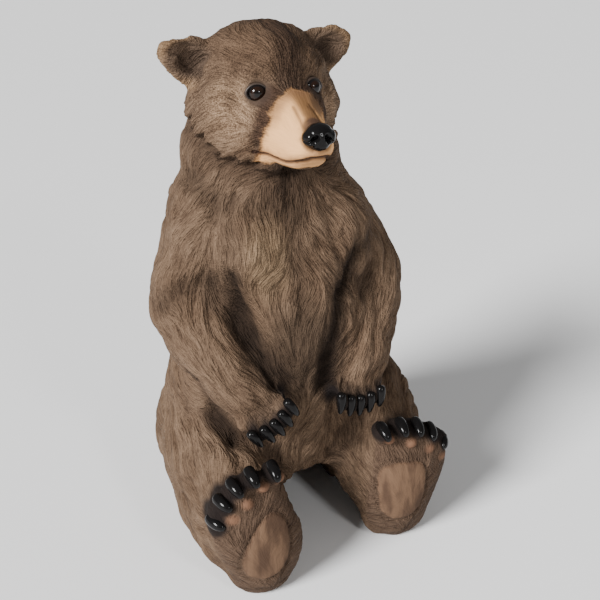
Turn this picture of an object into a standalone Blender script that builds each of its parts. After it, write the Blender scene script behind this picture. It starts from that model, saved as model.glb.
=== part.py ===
# A seated bear, cast in one piece and painted, with two glass eyes set in its head.
# Metres, +Z up. The bear faces -Y, and its left side is +X.

import math

import bmesh
import bpy
import numpy as np
from mathutils import Matrix, Vector

# Driving dimensions
HEIGHT = 0.60  # floor to the top of the head
EYE_DIAMETER = 0.0185  # glass eye
EYE_GAP = 0.0003  # clearance round an eye in its socket
LOCK_DEPTH = 0.0042  # depth of the grooves between locks of fur

# The free form is drawn in hundredths of the height
UNIT = HEIGHT / 100
BODY_VOXEL = 0.80 * UNIT
SKIN_VOXEL = 0.45 * UNIT
BODY_SMOOTHING = 12
SKIN_SMOOTHING = 3
RING_SIDES = 28
STEPS_PER_STATION = 5
DOME_ANGLES = np.radians([22, 45, 66])
BALL_LEVEL = 4
EYE_LEVEL = 3
SKIN_TRIANGLES = 9000

# Where the head sits on the neck, and its own frame: -Y to the nose, +Z to the crown
HEAD_CENTRE = (-1.3, 4.0, 87.0)
HEAD_NOD = math.radians(0.0)
HEAD_TURN = math.radians(1.0)

SIDES = {"right": -1, "left": 1}

# Stations of each form: centre x, y, z, then half width and half depth of its ring
TRUNK = [
    (0.0, 12.6, -3.0, 15.5, 12.0),
    (0.0, 12.2, 3.0, 19.5, 14.4),
    (0.0, 11.0, 9.0, 21.8, 16.2),
    (0.0, 9.4, 15.0, 22.6, 18.0),
    (0.1, 8.0, 22.0, 22.7, 19.6),
    (0.1, 6.8, 31.0, 22.2, 20.6),
    (0.8, 4.8, 42.0, 18.6, 18.6),
    (0.6, 4.4, 54.0, 17.0, 16.6),
    (-0.2, 4.8, 64.0, 15.8, 15.2),
    (-1.6, 4.8, 72.0, 15.2, 13.4),
    (-2.6, 4.6, 79.0, 14.6, 11.6),
    (-1.6, 6.0, 86.0, 12.0, 10.5),
]
ARM = {
    "right": [
        (-12.6, 5.0, 67.0, 8.4, 9.0),
        (-14.6, 4.4, 59.0, 7.8, 8.8),
        (-18.0, 3.0, 50.5, 7.9, 8.0),
        (-16.4, -2.6, 44.0, 7.9, 7.4),
        (-13.6, -8.6, 39.6, 7.6, 6.4),
        (-12.0, -12.2, 36.6, 6.4, 4.8),
    ],
    "left": [
        (10.6, 4.0, 63.6, 8.2, 9.0),
        (14.4, 2.6, 56.4, 7.8, 8.4),
        (17.2, -0.6, 49.0, 7.5, 7.6),
        (13.6, -6.4, 43.0, 6.8, 6.8),
        (10.5, -10.4, 39.4, 6.9, 5.8),
        (8.2, -12.6, 36.4, 5.9, 4.6),
    ],
}
LEG = {
    "right": [
        (-13.2, 11.0, 17.0, 11.6, 16.8),
        (-15.4, 2.0, 15.6, 10.5, 14.8),
        (-16.8, -7.0, 13.8, 9.6, 13.4),
        (-16.9, -16.0, 12.4, 8.8, 12.2),
    ],
    "left": [
        (15.2, 8.0, 19.0, 12.0, 18.4),
        (17.2, 0.0, 17.0, 11.2, 15.8),
        (16.5, -6.5, 13.8, 10.3, 13.2),
        (16.0, -12.5, 11.9, 9.4, 12.0),
    ],
}
# Each foot stands upright with its sole to the front: its rings run from heel to toes
FOOT = {
    "right": [
        (-14.8, -20.8, 3.6, 6.9, 5.0),
        (-14.9, -22.0, 9.6, 8.4, 4.4),
        (-16.9, -21.8, 15.8, 8.5, 4.0),
        (-17.6, -21.2, 20.8, 8.0, 3.4),
    ],
    "left": [
        (16.0, -17.2, 3.6, 7.0, 5.0),
        (16.0, -18.6, 9.6, 8.5, 4.4),
        (17.6, -18.4, 15.6, 9.0, 4.0),
        (18.5, -17.8, 20.6, 8.7, 3.4),
    ],
}
# The space between the legs and under the belly
LAP = [
    (0.5, -32.0, 0.0, 5.6, 15.0),
    (0.9, -16.0, 0.0, 6.4, 15.4),
    (1.8, -6.0, 0.0, 8.0, 13.2),
    (2.3, 2.0, -0.6, 9.2, 10.6),
    (2.6, 10.0, -1.5, 9.4, 7.8),
    (2.6, 16.0, -2.0, 8.4, 5.4),
]
# Soft masses over the frame: centre, radii and turns, given once and mirrored where they pair
CHEST = ((7.4, -1.8, 58.5), (9.2, 9.2, 13.0), (0, 12, 0))
BELLY = ((0.6, -4.2, 43.0), (13.5, 11.2, 20.0), (0, 0, 0))

# Parts of the head, in the head's own frame
SKULL = ((0.3, 2.5, 1.5), (12.0, 12.2, 11.0), (0, 0, 0))
FOREHEAD = ((0, -1.4, 4.2), (8.4, 8.2, 7.6), (0, 0, 0))
CHEEK = ((6.6, 0.8, -2.6), (7.8, 8.2, 7.4), (0, 0, 0))
BROW = ((4.6, -5.4, 4.6), (3.4, 3.4, 2.8), (0, 0, 0))
LID = ((5.1, -6.6, 1.75), (2.5, 2.6, 2.3), (0, 0, 0))
NOSE = ((0, -21.0, -3.2), (3.0, 2.3, 2.4), (0, 0, 0))
NOSE_TIP = ((0, -21.3, -4.4), (1.9, 2.1, 2.0), (0, 0, 0))
EYE = (5.1, -8.5, 1.75)
MUZZLE = [
    (0, -3.0, -1.6, 9.8, 6.4),
    (0, -8.0, -2.4, 8.2, 5.9),
    (0, -12.5, -3.4, 6.3, 5.0),
    (0, -16.0, -4.5, 5.3, 4.4),
    (0, -18.6, -5.1, 4.7, 3.9),
]
JAW = [
    (0, -4.0, -6.6, 6.6, 3.8),
    (0, -11.0, -7.8, 5.2, 2.6),
    (0, -17.0, -8.3, 3.9, 1.8),
]
EAR = [
    (8.0, 3.6, 4.2, 4.6, 2.4),
    (11.0, 3.4, 5.3, 4.5, 2.2),
    (13.6, 3.2, 6.3, 4.0, 1.9),
    (15.8, 3.2, 7.3, 3.3, 1.6),
    (17.4, 3.4, 8.0, 2.2, 1.2),
]
EARS_ASIDE = 0.5
EAR_CUP = ((13.3, 0.5, 6.3), (3.7, 2.4, 2.7), (0, -22, 0))

# Rows of claws: first and last claw as x, y, z, how far the row bows out and how far the claws fan
CLAWS = 5
FOOT_ROW = {
    "right": ((-12.8, -22.2, 26.4), (-24.0, -21.6, 18.4), 3.0, 1),
    "left": ((11.4, -18.8, 25.7), (25.4, -18.0, 19.4), 2.0, 1),
}
PAW_ROW = {
    "right": ((-7.5, -17.0, 35.9), (-14.6, -16.8, 31.1), -1.4, 0),
    "left": ((3.4, -16.2, 33.8), (12.1, -15.6, 32.8), -1.2, 0),
}
# A toe or finger under each claw, then the claw's own line: out along the row's facing, back, and radius
TOE = ((-1.4, 0.4), (1.65, 2.5, 2.0))
TOE_CLAW = [(-0.5, 2.2, 0.8), (0.4, 0.8, 1.0), (0.4, -1.1, 1.0), (-0.5, -2.5, 0.85), (-1.3, -3.1, 0.55)]
FINGER = ((1.2, 1.4), (1.35, 2.2, 2.0))
FINGER_CLAW = [(1.9, 0.2, 0.8), (0.8, -0.9, 1.02), (-0.6, -1.3, 1.05), (-1.9, -1.1, 1.0), (-2.8, -0.6, 0.8)]

# The way the fur lies: lines from the nose and the spine outwards, given once and mirrored
FUR_LINES = [
    [(0, -14, 88), (0, -5, 94), (0, 4, 99.5), (0, 16, 91), (0, 19, 75), (0, 22, 55), (0, 27, 30), (0, 27, 8)],
    [(4, -8, 84), (9, -4, 84), (14, 3, 83), (16, 6, 76), (17, 5, 68)],
    [(3, -12, 77), (7, -7, 76), (12, 0, 73), (18, 2, 64)],
    [(0, -8, 77), (0, -9, 68), (0, -11, 58), (0, -15, 44), (0, -12, 30), (0, -2, 12)],
    [(6, -8, 72), (7, -11, 60), (8, -14, 44), (8, -11, 30)],
    [(20, 4, 66), (24, 3, 55), (24, -2, 46), (17, -12, 42), (12, -17, 36)],
    [(17, 14, 66), (20, 14, 50), (22, 16, 30), (24, 14, 12)],
    [(24, 8, 26), (25, -4, 20), (25, -14, 16), (25, -20, 14)],
    [(16, 2, 31), (17, -10, 27), (17, -18, 25)],
    [(8, 2, 12), (8, -8, 12), (8, -18, 12)],
]
FUR_POWER = 4
FUR_WAVE = math.radians(24)
FUR_WAVE_SIZE = 11.0
LOCK_WIDTH = 4.4
LOCK_LENGTH = 17.0
LOCK_TAPS = 9
LOCK_SHARPNESS = 9.0
LOCK_ROUNDNESS = 0.7
FUR_SEED = 7

HASH_X = 73856093
HASH_Y = 19349663
HASH_Z = 83492791
HASH_SEED = 2654435761
HASH_MIX = 1274126177
HASH_RANGE = 65535
TINY = 1e-12

# Smooth places that carry no fur: centre and reach in the bear's frame, mirrored
BARE = [
    ((0, -16.0, 82.0), (8.5, 10.0, 7.0)),
    ((5.2, -5.0, 89.1), (3.6, 4.0, 3.2)),
    ((17.0, -23.0, 14.0), (12.0, 4.6, 18.0)),
    ((10.0, -17.0, 33.0), (8.0, 4.0, 4.5)),
]
BARE_CORE = 0.8
BARE_EDGE = 0.4

COAT = (0.17, 0.115, 0.075, 1)
GLASS = (0.012, 0.008, 0.006, 1)
COAT_ROUGHNESS = 0.62
GLASS_ROUGHNESS = 0.06


def scaled(point):
    return Vector(point) * UNIT


def mirrored(form, side):
    """A mass of the left side, or its mirror image for the right."""
    centre, radii, turns = form
    return (side * centre[0], *centre[1:]), radii, (turns[0], side * turns[1], side * turns[2])


def between(stations, steps):
    """The stations with a smooth run of steps between each pair."""
    values = np.array(stations, float)
    ends = np.vstack([2 * values[0] - values[1], values, 2 * values[-1] - values[-2]])
    rows = []
    for i in range(1, len(ends) - 2):
        a, b, c, d = ends[i - 1 : i + 3]
        for t in np.arange(steps) / steps:
            curve = 2 * b + (c - a) * t + (2 * a - 5 * b + 4 * c - d) * t**2 + (3 * b - a - 3 * c + d) * t**3
            rows.append(curve / 2)
    rows.append(values[-1])
    return np.array(rows)


def loft(stations, across):
    """A closed mesh of oval rings set square to the line through the stations, with a dome on each end."""
    rows = between(stations, STEPS_PER_STATION)
    centres = [scaled(row[:3]) for row in rows]
    rings = []
    for i, row in enumerate(rows):
        along = (centres[min(i + 1, len(rows) - 1)] - centres[max(i - 1, 0)]).normalized()
        side = (across - across.dot(along) * along).normalized()
        rings.append((centres[i], along, side, row[3] * UNIT, row[4] * UNIT))
    domes = [(math.cos(a), math.sin(a)) for a in DOME_ANGLES]
    first, last = rings[0], rings[-1]

    def dome(ring, way):
        centre, along, side, width, depth = ring
        reach = way * min(width, depth)
        return [(centre + along * reach * rise, along, side, width * run, depth * run) for run, rise in domes]

    rings = dome(first, -1)[::-1] + rings + dome(last, 1)
    form = bmesh.new()
    loops = []
    for centre, along, side, width, depth in rings:
        up = along.cross(side)
        turn = [2 * math.pi * k / RING_SIDES for k in range(RING_SIDES)]
        places = [centre + side * width * math.cos(a) + up * depth * math.sin(a) for a in turn]
        loops.append([form.verts.new(place) for place in places])
    for low, high in zip(loops, loops[1:]):
        for k in range(RING_SIDES):
            m = (k + 1) % RING_SIDES
            form.faces.new((low[k], low[m], high[m], high[k]))
    form.faces.new(loops[0][::-1])
    form.faces.new(loops[-1])
    return form


def ball(centre, radii, turns=(0, 0, 0)):
    """An ellipsoid, turned about its own X, Y and Z by degrees."""
    form = bmesh.new()
    turned = Matrix.Rotation(math.radians(turns[2]), 4, "Z")
    turned = turned @ Matrix.Rotation(math.radians(turns[1]), 4, "Y")
    turned = turned @ Matrix.Rotation(math.radians(turns[0]), 4, "X")
    place = Matrix.Translation(scaled(centre)) @ turned @ Matrix.Diagonal((*scaled(radii), 1))
    bmesh.ops.create_icosphere(form, subdivisions=BALL_LEVEL, radius=1, matrix=place)
    return form


def head_frame():
    turn = Matrix.Rotation(HEAD_TURN, 4, "Z") @ Matrix.Rotation(HEAD_NOD, 4, "X")
    return Matrix.Translation(scaled(HEAD_CENTRE)) @ turn


def on_head(form):
    bmesh.ops.transform(form, matrix=head_frame(), verts=form.verts)
    return form


def row_of(first, last, bow, fan):
    """Points from first to last along a bowed line, and the way that the row faces at each one."""
    first, last = Vector(first), Vector(last)
    along = last - first
    out = Vector((0, -1, 0)).cross(along).normalized()
    if out.z < 0:
        out = -out
    for k in range(CLAWS):
        t = k / (CLAWS - 1)
        point = first + along * t + out * bow * 4 * t * (1 - t)
        facing = (out - fan * along.normalized() * bow * 4 * (1 - 2 * t) / along.length).normalized()
        yield point, facing


def digit_forms(row, digit, claw):
    """A row of toes or fingers, each with its claw."""
    forms = []
    for point, facing in row_of(*row):
        (out, back), radii = digit
        forms.append(ball(point + facing * out + Vector((0, back, 0)), radii))
        stations = [(*(point + facing * up + Vector((0, y, 0))), r, r) for up, y, r in claw]
        forms.append(loft(stations, Vector((1, 0, 0))))
    return forms


def trunk_forms():
    forms = [loft(TRUNK, Vector((1, 0, 0))), ball(*BELLY)]
    for name, side in SIDES.items():
        forms.append(loft(ARM[name], Vector((side, 0, 0))))
        forms.append(loft(LEG[name], Vector((1, 0, 0))))
        forms.append(loft(FOOT[name], Vector((1, 0, 0))))
        forms.append(ball(*mirrored(CHEST, side)))
    return forms


def skull_forms():
    forms = [ball(*SKULL), ball(*FOREHEAD), loft(MUZZLE, Vector((1, 0, 0)))]
    for side in SIDES.values():
        forms += [ball(*mirrored(mass, side)) for mass in (CHEEK, BROW)]
    return [on_head(form) for form in forms]


def face_forms():
    forms = [loft(JAW, Vector((1, 0, 0))), ball(*NOSE), ball(*NOSE_TIP)]
    forms += [ball(*mirrored(LID, side)) for side in SIDES.values()]
    return [on_head(form) for form in forms]


def ear_forms():
    """Each ear is a thick leaf that leans outwards, cupped in front."""
    forms = []
    for side in SIDES.values():
        stations = [(side * row[0], *row[1:]) for row in EAR]
        leaf = as_object("leaf", [loft(stations, Vector((0, 0, 1)))])
        cup = as_object("cup", [ball(*mirrored(EAR_CUP, side))])
        cut(leaf, cup)
        form = bmesh.new()
        form.from_mesh(leaf.data)
        bpy.data.objects.remove(leaf)
        bmesh.ops.translate(form, vec=scaled((EARS_ASIDE, 0, 0)), verts=form.verts)
        forms.append(on_head(form))
    return forms


def as_object(name, forms):
    """One mesh object that holds all the closed forms."""
    mesh = bpy.data.meshes.new(name)
    whole = bmesh.new()
    for form in forms:
        bmesh.ops.recalc_face_normals(form, faces=form.faces)
        form.to_mesh(mesh)
        whole.from_mesh(mesh)
        form.free()
    whole.to_mesh(mesh)
    whole.free()
    found = bpy.data.objects.new(name, mesh)
    bpy.context.scene.collection.objects.link(found)
    return found


def apply_modifiers(obj):
    bpy.context.view_layer.update()
    evaluated = obj.evaluated_get(bpy.context.evaluated_depsgraph_get())
    mesh = bpy.data.meshes.new_from_object(evaluated)
    old = obj.data
    obj.modifiers.clear()
    obj.data = mesh
    bpy.data.meshes.remove(old)


def cut(obj, tool):
    """Takes the tool's solid out of the object, and removes the tool."""
    hollow = obj.modifiers.new("Cut", "BOOLEAN")
    hollow.operation = "DIFFERENCE"
    hollow.solver = "EXACT"
    hollow.object = tool
    apply_modifiers(obj)
    bpy.data.objects.remove(tool)


def fused(obj, voxel, smoothing):
    """The object's forms run together as one skin, with the creases between them softened."""
    remesh = obj.modifiers.new("Fuse", "REMESH")
    remesh.mode = "VOXEL"
    remesh.voxel_size = voxel
    smooth = obj.modifiers.new("Soften", "SMOOTH")
    smooth.iterations = smoothing
    apply_modifiers(obj)
    return obj


def value_noise(points, seed):
    """Smooth noise from 0 to 1 at each point, one cell to the unit."""
    base = np.floor(points).astype(np.int64)
    part = points - base
    part = part * part * (3 - 2 * part)
    total = np.zeros(len(points))
    for corner in np.ndindex(2, 2, 2):
        cell = base + corner
        mixed = (cell[:, 0] * HASH_X) ^ (cell[:, 1] * HASH_Y) ^ (cell[:, 2] * HASH_Z) ^ (seed * HASH_SEED)
        mixed = (mixed ^ (mixed >> 13)) * HASH_MIX
        weight = np.prod(np.where(corner, part, 1 - part), axis=1)
        total += weight * ((mixed ^ (mixed >> 16)) & HASH_RANGE) / HASH_RANGE
    return total


def fur_flow(points, normals):
    """The way that the fur lies at each point: a blend of the nearest fur lines, laid on the skin."""
    flow = np.zeros_like(points)
    for side in SIDES.values():
        for line in FUR_LINES:
            line = np.array(line, float) * (side, 1, 1)
            for start, end in zip(line, line[1:]):
                along = end - start
                share = np.clip((points - start) @ along / (along @ along), 0, 1)
                away = np.linalg.norm(points - start - share[:, None] * along, axis=1)
                weight = 1 / (away + 1) ** FUR_POWER
                flow += weight[:, None] * along / np.linalg.norm(along)
    flow -= np.sum(flow * normals, axis=1)[:, None] * normals
    flow /= np.linalg.norm(flow, axis=1)[:, None] + TINY
    sway = (value_noise(points / FUR_WAVE_SIZE, FUR_SEED) - 0.5) * 2 * FUR_WAVE
    across = np.cross(normals, flow)
    return flow * np.cos(sway)[:, None] + across * np.sin(sway)[:, None]


def locks(points, flow):
    """Rounded locks with grooves between them, 1 on a lock and 0 at the bottom of a groove."""
    total = np.zeros(len(points))
    for step in np.linspace(-0.5, 0.5, LOCK_TAPS):
        total += value_noise((points + flow * step * LOCK_LENGTH) / LOCK_WIDTH, FUR_SEED + 1)
    height = np.abs(total / LOCK_TAPS - 0.5) * LOCK_SHARPNESS
    return np.clip(height, 0, 1) ** LOCK_ROUNDNESS


def furred(points):
    """1 where the skin carries fur, falling to 0 on the smooth places."""
    mask = np.ones(len(points))
    for side in SIDES.values():
        for centre, reach in BARE:
            away = np.linalg.norm((points - np.array(centre) * (side, 1, 1)) / reach, axis=1)
            mask = np.minimum(mask, np.clip((away - BARE_CORE) / BARE_EDGE, 0, 1))
    return mask


def carve_fur(obj):
    mesh = obj.data
    count = len(mesh.vertices)
    points = np.empty(count * 3)
    mesh.vertices.foreach_get("co", points)
    points = points.reshape(count, 3)
    normals = np.empty(count * 3)
    mesh.vertices.foreach_get("normal", normals)
    normals = normals.reshape(count, 3)
    drawn = points / UNIT
    depth = (locks(drawn, fur_flow(drawn, normals)) - 0.5) * LOCK_DEPTH * furred(drawn)
    mesh.vertices.foreach_set("co", (points + normals * depth[:, None]).ravel())
    mesh.update()


def thinned(obj, triangles):
    thin = obj.modifiers.new("Thin", "DECIMATE")
    thin.ratio = triangles / sum(len(face.vertices) - 2 for face in obj.data.polygons)
    thin.use_collapse_triangulate = True
    apply_modifiers(obj)


def floor_block():
    """A block that fills the space under the floor."""
    form = bmesh.new()
    place = Matrix.Translation((0, 0, -HEIGHT / 2)) @ Matrix.Diagonal((2 * HEIGHT, 2 * HEIGHT, HEIGHT, 1))
    bmesh.ops.create_cube(form, size=1, matrix=place)
    return as_object("floor_block", [form])


def eye_at(name, side, radius):
    form = bmesh.new()
    place = head_frame() @ Matrix.Translation(scaled((side * EYE[0], *EYE[1:])))
    bmesh.ops.create_icosphere(form, subdivisions=EYE_LEVEL, radius=radius, matrix=place)
    return as_object(name, [form])


def material(name, colour, roughness):
    made = bpy.data.materials.new(name)
    made.use_nodes = True
    shader = made.node_tree.nodes["Principled BSDF"]
    shader.inputs["Base Color"].default_value = colour
    shader.inputs["Roughness"].default_value = roughness
    return made


def centre_on_floor(objects):
    """Moves the meshes so that the middle of the whole figure's plan is at the origin."""
    corners = np.array([vertex.co for obj in objects for vertex in obj.data.vertices])
    middle = (corners.min(axis=0) + corners.max(axis=0)) / 2
    for obj in objects:
        obj.data.transform(Matrix.Translation((-middle[0], -middle[1], 0)))


def main():
    for obj in list(bpy.data.objects):
        bpy.data.objects.remove(obj)
    body = fused(as_object("trunk", trunk_forms() + skull_forms()), BODY_VOXEL, 0)
    cut(body, as_object("lap", [loft(LAP, Vector((1, 0, 0)))]))
    body = fused(body, BODY_VOXEL, BODY_SMOOTHING)
    core = bmesh.new()
    core.from_mesh(body.data)
    bpy.data.objects.remove(body)
    details = face_forms() + ear_forms()
    for name in SIDES:
        details += digit_forms(FOOT_ROW[name], TOE, TOE_CLAW)
        details += digit_forms(PAW_ROW[name], FINGER, FINGER_CLAW)
    bear = fused(as_object("bear_figure", [core] + details), SKIN_VOXEL, SKIN_SMOOTHING)
    carve_fur(bear)
    thinned(bear, SKIN_TRIANGLES)
    cut(bear, floor_block())
    bear.data.materials.append(material("painted_resin", COAT, COAT_ROUGHNESS))
    eyes = []
    for name, side in SIDES.items():
        cut(bear, eye_at("socket", side, EYE_DIAMETER / 2 + EYE_GAP))
        eyes.append(eye_at(name + "_eye", side, EYE_DIAMETER / 2))
        eyes[-1].data.materials.append(material(name + "_glass", GLASS, GLASS_ROUGHNESS))
    centre_on_floor([bear, *eyes])


main()
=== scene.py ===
import math

import bpy
import numpy as np
from mathutils import Matrix, Vector


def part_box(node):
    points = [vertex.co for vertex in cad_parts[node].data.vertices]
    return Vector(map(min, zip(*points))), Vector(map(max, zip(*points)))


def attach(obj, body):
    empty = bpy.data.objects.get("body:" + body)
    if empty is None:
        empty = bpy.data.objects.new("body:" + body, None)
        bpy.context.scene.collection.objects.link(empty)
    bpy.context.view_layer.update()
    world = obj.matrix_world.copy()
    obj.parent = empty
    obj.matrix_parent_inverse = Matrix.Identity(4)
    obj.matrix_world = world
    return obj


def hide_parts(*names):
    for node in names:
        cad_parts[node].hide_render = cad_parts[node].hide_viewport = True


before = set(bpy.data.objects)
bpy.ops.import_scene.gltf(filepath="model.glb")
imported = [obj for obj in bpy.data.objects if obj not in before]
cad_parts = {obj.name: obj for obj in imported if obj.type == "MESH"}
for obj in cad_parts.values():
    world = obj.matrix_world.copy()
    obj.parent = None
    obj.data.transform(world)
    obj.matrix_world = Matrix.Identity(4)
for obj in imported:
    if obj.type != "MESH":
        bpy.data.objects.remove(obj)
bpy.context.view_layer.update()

# The bear is drawn in hundredths of its height: -Y is its front and +X its left side
figure = {
    "unit": 0.006,
    "headCentre": (-1.3, 4.0, 87.0),
    "headTurn": math.radians(1.0),
    "eyeInHead": (5.1, -8.5, 1.75),
}
sides = {"right": -1, "left": 1}
unit = figure["unit"]
headPlace = Matrix.Translation(figure["headCentre"]) @ Matrix.Rotation(figure["headTurn"], 4, "Z")
headRow = np.array(figure["headCentre"])
bodyLow, bodyHigh = (np.array(corner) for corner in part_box("bear_figure"))


def eyeMiddle(side):
    low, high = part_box(side + "_eye")
    return (low + high) / 2


# from a drawn place to the place in the frame
shift = eyeMiddle("left") / unit - headPlace @ Vector(figure["eyeInHead"])
shiftRow = np.array(shift)


def placed(point):
    return (Vector(point) + shift) * unit


def onHead(point):
    return headPlace @ Vector(point)


def select(*objects):
    bpy.ops.object.select_all(action="DESELECT")
    for obj in objects:
        obj.select_set(True)
    bpy.context.view_layer.objects.active = objects[-1]


def finishModifier(obj, kind, **values):
    select(obj)
    modifier = obj.modifiers.new(kind, kind)
    for key, value in values.items():
        setattr(modifier, key, value)
    bpy.ops.object.modifier_apply(modifier=modifier.name)


def joined(name, parts):
    select(*parts)
    bpy.ops.object.join()
    whole = bpy.context.object
    whole.name = name
    whole.data.name = name
    return whole


def settle(obj):
    select(obj)
    bpy.ops.object.transform_apply(location=True, rotation=True, scale=True)


def getPoints(obj, kind="co"):
    values = np.empty(len(obj.data.vertices) * 3, np.float32)
    obj.data.vertices.foreach_get(kind, values)
    return values.reshape(-1, 3).astype(float)


def setPoints(obj, points):
    obj.data.vertices.foreach_set("co", np.ascontiguousarray(points, dtype=np.float32).ravel())
    obj.data.update()


def setMask(obj, name, values):
    layer = obj.data.attributes.new(name, "FLOAT", "POINT")
    layer.data.foreach_set("value", np.ascontiguousarray(values, dtype=np.float32))


def setFlow(obj, name, values):
    layer = obj.data.attributes.new(name, "FLOAT_VECTOR", "POINT")
    layer.data.foreach_set("vector", np.ascontiguousarray(values, dtype=np.float32).ravel())


# The skin is one fine closed mesh from the cast solid, with toes, fingers and toe pads drawn again
skin = {
    "mergeDistance": 0.00001,
    "coarseVoxel": 0.0024,
    "coarseSmoothing": 16,
    "fineVoxel": 0.0015,
    "fineSmoothing": 2,
    "hollowSmoothing": 450,
    "hollowDepth": 0.003,
    "triangles": 196000,
    # balls added at each claw or pad: how far along the way the claw faces, how far back, and the radii
    "toe": {"out": -1.3, "back": 0.6, "radii": (1.55, 2.4, 1.9)},
    "finger": {"out": 1.2, "back": 1.5, "radii": (1.15, 2.0, 1.9)},
    "toePad": {"back": 1.0, "radii": (1.2, 1.3, 1.0)},
}
# first and last claw of each row, how far the row bows out and how far the claws fan
clawRows = {
    "rightFoot": ((-12.8, -22.2, 26.4), (-24.0, -21.6, 18.4), 3.0, 1),
    "leftFoot": ((11.4, -18.8, 25.7), (25.4, -18.0, 19.4), 2.0, 1),
    "rightHand": ((-7.5, -17.0, 35.9), (-14.6, -16.8, 31.1), -1.4, 0),
    "leftHand": ((3.4, -16.2, 33.8), (12.1, -15.6, 32.8), -1.2, 0),
}
clawCount = 5
# small pads under the toes
toePads = [
    (-21.3, -24.2, 19.4), (-18.4, -24.2, 21.6), (-15.0, -23.6, 23.6), (-11.6, -22.6, 24.0),
    (12.4, -20.6, 23.9), (17.1, -21.0, 22.0), (21.2, -20.8, 19.8), (24.6, -20.0, 16.8),
]


def rowOf(first, last, bow, fan):
    # where each claw of a row is rooted and which way it faces, along a parabola
    first, last = Vector(first), Vector(last)
    along = last - first
    out = Vector((0, -1, 0)).cross(along).normalized()
    if out.z < 0:
        out = -out
    places = []
    for k in range(clawCount):
        t = k / (clawCount - 1)
        point = first + along * t + out * bow * 4 * t * (1 - t)
        facing = (out - fan * along.normalized() * bow * 4 * (1 - 2 * t) / along.length).normalized()
        places.append((point, facing))
    return places


def addBall(centre, radii, segments=24, rings=14):
    bpy.ops.mesh.primitive_uv_sphere_add(segments=segments, ring_count=rings, radius=1,
                                         location=placed(centre))
    ball = bpy.context.object
    ball.scale = Vector(radii) * unit
    settle(ball)
    return ball


def makeSkin():
    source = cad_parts["bear_figure"]
    bear = bpy.data.objects.new("bearFigure", source.data.copy())
    bpy.context.scene.collection.objects.link(bear)
    bear.data.materials.clear()
    select(bear)
    bpy.ops.object.mode_set(mode="EDIT")
    bpy.ops.mesh.select_all(action="SELECT")
    bpy.ops.mesh.remove_doubles(threshold=skin["mergeDistance"])
    bpy.ops.object.mode_set(mode="OBJECT")
    finishModifier(bear, "REMESH", mode="VOXEL", voxel_size=skin["coarseVoxel"])
    finishModifier(bear, "SMOOTH", iterations=skin["coarseSmoothing"], factor=0.5)
    extra = []
    for name, row in clawRows.items():
        ball = skin["toe"] if name.endswith("Foot") else skin["finger"]
        for point, facing in rowOf(*row):
            extra.append(addBall(point + facing * ball["out"] + Vector((0, ball["back"], 0)), ball["radii"]))
    ball = skin["toePad"]
    for centre in toePads:
        extra.append(addBall(Vector(centre) + Vector((0, ball["back"], 0)), ball["radii"]))
    bear = joined("bearFigure", extra + [bear])
    finishModifier(bear, "REMESH", mode="VOXEL", voxel_size=skin["fineVoxel"])
    finishModifier(bear, "SMOOTH", iterations=skin["fineSmoothing"], factor=0.5)
    return bear


def hollowsOf(obj):
    # near 1 in the deep folds between the large forms, 0 on open skin; it places the painted shade of the
    # folds
    soft = bpy.data.objects.new("soft", obj.data.copy())
    bpy.context.scene.collection.objects.link(soft)
    finishModifier(soft, "SMOOTH", iterations=skin["hollowSmoothing"], factor=0.8)
    lift = np.sum((getPoints(soft) - getPoints(obj)) * getPoints(obj, "normal"), axis=1)
    bpy.data.objects.remove(soft)
    return np.clip(lift / skin["hollowDepth"], -1, 1)


bear = makeSkin()
hollows = hollowsOf(bear)
print("skin", len(bear.data.vertices), "points")

# The way the fur lies: lines from the nose and spine outwards, given once and mirrored
furLines = [
    [(0, -14, 88), (0, -5, 94), (0, 4, 99.5), (0, 16, 91), (0, 19, 75), (0, 22, 55), (0, 27, 30), (0, 27, 8)],
    [(4, -8, 84), (9, -4, 84), (14, 3, 83), (16, 6, 76), (17, 5, 68)],
    [(3, -12, 77), (7, -7, 76), (12, 0, 73), (18, 2, 64)],
    [(5, -7, 92), (9, -2, 94), (13, 4, 94)],
    [(0, -8, 77), (0, -9, 68), (0, -11, 58), (0, -15, 44), (0, -12, 30), (0, -2, 12)],
    [(6, -8, 72), (7, -11, 60), (8, -14, 44), (8, -11, 30)],
    [(1, -10, 66), (5, -11, 60), (9, -11, 53)],
    [(11, -10, 52), (7, -14, 43), (2, -14, 33)],
    [(20, 4, 66), (24, 3, 55), (24, -2, 46), (17, -12, 42), (12, -17, 36)],
    [(17, 14, 66), (20, 14, 50), (22, 16, 30), (24, 14, 12)],
    [(24, 8, 26), (25, -4, 20), (25, -14, 16), (25, -20, 14)],
    [(16, 2, 31), (17, -10, 27), (17, -18, 25)],
    [(8, 2, 12), (8, -8, 12), (8, -18, 12)],
]
fur = {
    "lineSharpness": 4,
    # how far the fur sways from its lines, in waves and in smaller waves
    "wave": math.radians(42),
    "waves": {"size": 6.5, "share": 2.0, "seed": 7},
    "smallWaves": {"size": 3.4, "share": 1.3, "seed": 12},
    "traceStep": 0.55,
    "traceCount": 10,
    "cell": 1.0,
    "marginCells": 3,
    "grooveSpread": 1.6,
    "roundness": 0.6,
    "locks": {"width": 2.9, "reach": 10, "seed": 8, "depth": 0.50, "level": 0.75},
    "tufts": {"width": 1.35, "reach": 8, "seed": 9, "depth": 0.32, "level": 0.7},
    "strands": {"width": 0.75, "reach": 5, "seed": 10, "depth": 0.16, "level": 0.5, "contrast": 3},
}
noiseMix = {"cell": (73856093, 19349663, 83492791), "seed": 2654435761, "last": 1274126177, "largest": 65535}


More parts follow.
